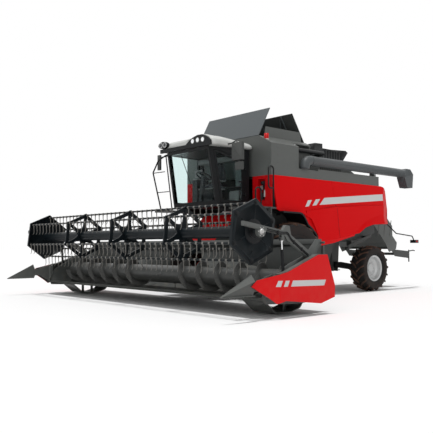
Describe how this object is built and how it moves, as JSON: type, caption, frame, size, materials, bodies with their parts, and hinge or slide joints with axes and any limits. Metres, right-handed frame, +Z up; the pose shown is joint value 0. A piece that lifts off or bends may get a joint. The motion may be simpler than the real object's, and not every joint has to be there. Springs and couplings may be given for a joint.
{
  "type": "combine harvester",
  "caption": "Self-propelled combine harvester with a wide cutting header, tined reel, glazed cab, open grain tank and folded unloading auger.",
  "frame": {"origin": "on the ground, in the middle of the machine's length and width", "axes": "+X forward, the way it drives and cuts; +Y to its left; +Z up"},
  "size_m": [10.91, 8.18, 4.4709],
  "materials": {
    "red_paint": "gloss",
    "body_grey": "satin",
    "chassis_grey": "satin",
    "flap_grey": "satin",
    "header_grey": "satin",
    "black_steel": "satin",
    "black_plastic": "matte",
    "cab_white": "gloss",
    "cab_frame": "satin",
    "glass": "clear",
    "lamp_lens": "clear",
    "red_lens": "gloss",
    "seat_cloth": "matte",
    "chrome_rod": "polished",
    "rim_silver": "gloss",
    "tyre": "matte",
    "tine_grey": "matte"
  },
  "bodies": {
    "chassis": {"hull": "chassis_grey", "axles": "chassis_grey", "side_panels": "red_paint", "end_panels": "red_paint", "grain_tank": "body_grey", "engine_deck": "body_grey", "engine": "chassis_grey", "air_intake": "black_plastic", "straw_hood": "chassis_grey", "spreader_board": "chassis_grey", "tail_lamps": "black_steel", "cab_shell": "cab_frame", "cab_roof": "cab_white", "roof_visor": "black_plastic", "roof_lamps": "lamp_lens", "cab_glass": "glass", "seat": "seat_cloth", "steering_column": "black_plastic", "mirrors": "black_plastic", "platform": "chassis_grey", "handrails": "black_steel", "fenders": "black_plastic", "beacon": "red_lens"},
    "wheel_front_left": {"tyre_front_left": "tyre", "rim_front_left": "rim_silver"},
    "wheel_front_right": {"tyre_front_right": "tyre", "rim_front_right": "rim_silver"},
    "wheel_rear_left": {"tyre_rear_left": "tyre", "rim_rear_left": "rim_silver"},
    "wheel_rear_right": {"tyre_rear_right": "tyre", "rim_rear_right": "rim_silver"},
    "steering_left": {"knuckle_left": "chassis_grey"},
    "steering_right": {"knuckle_right": "chassis_grey"},
    "header": {"feeder_house": "red_paint", "header_frame": "header_grey", "header_ends": "red_paint", "dividers": "header_grey", "cutter_bar": "black_steel"},
    "lift_barrels": {"lift_barrels": "black_steel"},
    "lift_rods": {"lift_rods": "chrome_rod"},
    "reel_arms": {"reel_arms": "header_grey"},
    "reel_lift_barrels": {"reel_lift_barrels": "black_steel"},
    "reel_lift_rods": {"reel_lift_rods": "chrome_rod"},
    "reel": {"reel_frame": "black_steel"},
    "tine_bar_1": {"tine_bar_1": "tine_grey"},
    "tine_bar_2": {"tine_bar_2": "tine_grey"},
    "tine_bar_3": {"tine_bar_3": "tine_grey"},
    "tine_bar_4": {"tine_bar_4": "tine_grey"},
    "tine_bar_5": {"tine_bar_5": "tine_grey"},
    "tine_bar_6": {"tine_bar_6": "tine_grey"},
    "header_auger": {"header_auger": "header_grey"},
    "unloading_auger": {"unloading_auger": "body_grey"},
    "tank_flap_front": {"tank_flap_front": "flap_grey"},
    "tank_flap_rear": {"tank_flap_rear": "flap_grey"},
    "cab_door": {"door_frame": "cab_frame", "door_glass": "glass"}
  },
  "joints": [
    {"name": "wheel_front_left_spin", "type": "hinge", "parent": "chassis", "child": "wheel_front_left", "pos_m": [0.925, 1.355, 0.89], "axis": [0, 1, 0], "continuous": true},
    {"name": "wheel_front_right_spin", "type": "hinge", "parent": "chassis", "child": "wheel_front_right", "pos_m": [0.925, -1.355, 0.89], "axis": [0, 1, 0], "continuous": true},
    {"name": "steer_left", "type": "hinge", "parent": "chassis", "child": "steering_left", "pos_m": [-2.375, 0.985, 0.61], "axis": [0, 0, 1], "range_deg": [-32, 32]},
    {"name": "steer_right", "type": "hinge", "parent": "chassis", "child": "steering_right", "pos_m": [-2.375, -0.985, 0.61], "axis": [0, 0, 1], "range_deg": [-32, 32]},
    {"name": "wheel_rear_left_spin", "type": "hinge", "parent": "steering_left", "child": "wheel_rear_left", "pos_m": [-2.375, 1.27, 0.61], "axis": [0, 1, 0], "continuous": true},
    {"name": "wheel_rear_right_spin", "type": "hinge", "parent": "steering_right", "child": "wheel_rear_right", "pos_m": [-2.375, -1.27, 0.61], "axis": [0, 1, 0], "continuous": true},
    {"name": "header_lift", "type": "hinge", "parent": "chassis", "child": "header", "pos_m": [1.525, 0, 1.65], "axis": [0, -1, 0], "range_deg": [0, 20]},
    {"name": "lift_barrel_swing", "type": "hinge", "parent": "chassis", "child": "lift_barrels", "pos_m": [1.265, 0, 0.86], "axis": [0, -1, 0], "range_deg": [-0.5, 18.2]},
    {"name": "lift_rod_slide", "type": "slide", "parent": "lift_barrels", "child": "lift_rods", "axis": [0.9711, 0, -0.2388], "range_m": [-0.005, 0.29]},
    {"name": "reel_lift", "type": "hinge", "parent": "header", "child": "reel_arms", "pos_m": [3.275, 0, 1.04], "axis": [0, -1, 0], "range_deg": [-6, 18]},
    {"name": "reel_barrel_swing", "type": "hinge", "parent": "header", "child": "reel_lift_barrels", "pos_m": [3.955, 0, 0.7], "axis": [0, -1, 0], "range_deg": [-3.4, 9.8]},
    {"name": "reel_rod_slide", "type": "slide", "parent": "reel_lift_barrels", "child": "reel_lift_rods", "axis": [0.0634, 0, 0.998], "range_m": [-0.075, 0.218]},
    {"name": "reel_spin", "type": "hinge", "parent": "reel_arms", "child": "reel", "pos_m": [4.505, 0, 1.455], "axis": [0, 1, 0], "continuous": true},
    {"name": "tine_bar_1_turn", "type": "hinge", "parent": "reel", "child": "tine_bar_1", "pos_m": [4.44528, 0, 1.94135], "axis": [0, 1, 0], "continuous": true},
    {"name": "tine_bar_2_turn", "type": "hinge", "parent": "reel", "child": "tine_bar_2", "pos_m": [4.05395, 0, 1.64646], "axis": [0, 1, 0], "continuous": true},
    {"name": "tine_bar_3_turn", "type": "hinge", "parent": "reel", "child": "tine_bar_3", "pos_m": [4.11367, 0, 1.16011], "axis": [0, 1, 0], "continuous": true},
    {"name": "tine_bar_4_turn", "type": "hinge", "parent": "reel", "child": "tine_bar_4", "pos_m": [4.56472, 0, 0.96865], "axis": [0, 1, 0], "continuous": true},
    {"name": "tine_bar_5_turn", "type": "hinge", "parent": "reel", "child": "tine_bar_5", "pos_m": [4.95605, 0, 1.26354], "axis": [0, 1, 0], "continuous": true},
    {"name": "tine_bar_6_turn", "type": "hinge", "parent": "reel", "child": "tine_bar_6", "pos_m": [4.89633, 0, 1.74989], "axis": [0, 1, 0], "continuous": true},
    {"name": "header_auger_spin", "type": "hinge", "parent": "header", "child": "header_auger", "pos_m": [3.625, 0, 0.61], "axis": [0, 1, 0], "continuous": true},
    {"name": "unloading_swing", "type": "hinge", "parent": "chassis", "child": "unloading_auger", "pos_m": [0.525, 1.5, 3.25], "axis": [0, 0, -1], "range_deg": [0, 100]},
    {"name": "front_flap_fold", "type": "hinge", "parent": "chassis", "child": "tank_flap_front", "pos_m": [1.645, 0, 3.78], "axis": [0, -1, 0], "range_deg": [0, 59]},
    {"name": "rear_flap_fold", "type": "hinge", "parent": "chassis", "child": "tank_flap_rear", "pos_m": [0.055, 0, 3.78], "axis": [0, 1, 0], "range_deg": [0, 55]},
    {"name": "cab_door_swing", "type": "hinge", "parent": "chassis", "child": "cab_door", "pos_m": [1.897, 0.895, 2.7], "axis": [0, 0, 1], "range_deg": [0, 85]}
  ],
  "couplings": [
    {"joint": "steer_right", "follows": "steer_left", "ratio": 1},
    {"joint": "lift_barrel_swing", "follows": "header_lift", "ratio": 0.8785},
    {"joint": "lift_rod_slide", "follows": "header_lift", "m_per_rad": 0.8084},
    {"joint": "reel_barrel_swing", "follows": "reel_lift", "ratio": 0.5273},
    {"joint": "reel_rod_slide", "follows": "reel_lift", "m_per_rad": 0.6806},
    {"joint": "tine_bar_1_turn", "follows": "reel_spin", "ratio": -1},
    {"joint": "tine_bar_2_turn", "follows": "reel_spin", "ratio": -1},
    {"joint": "tine_bar_3_turn", "follows": "reel_spin", "ratio": -1},
    {"joint": "tine_bar_4_turn", "follows": "reel_spin", "ratio": -1},
    {"joint": "tine_bar_5_turn", "follows": "reel_spin", "ratio": -1},
    {"joint": "tine_bar_6_turn", "follows": "reel_spin", "ratio": -1}
  ]
}
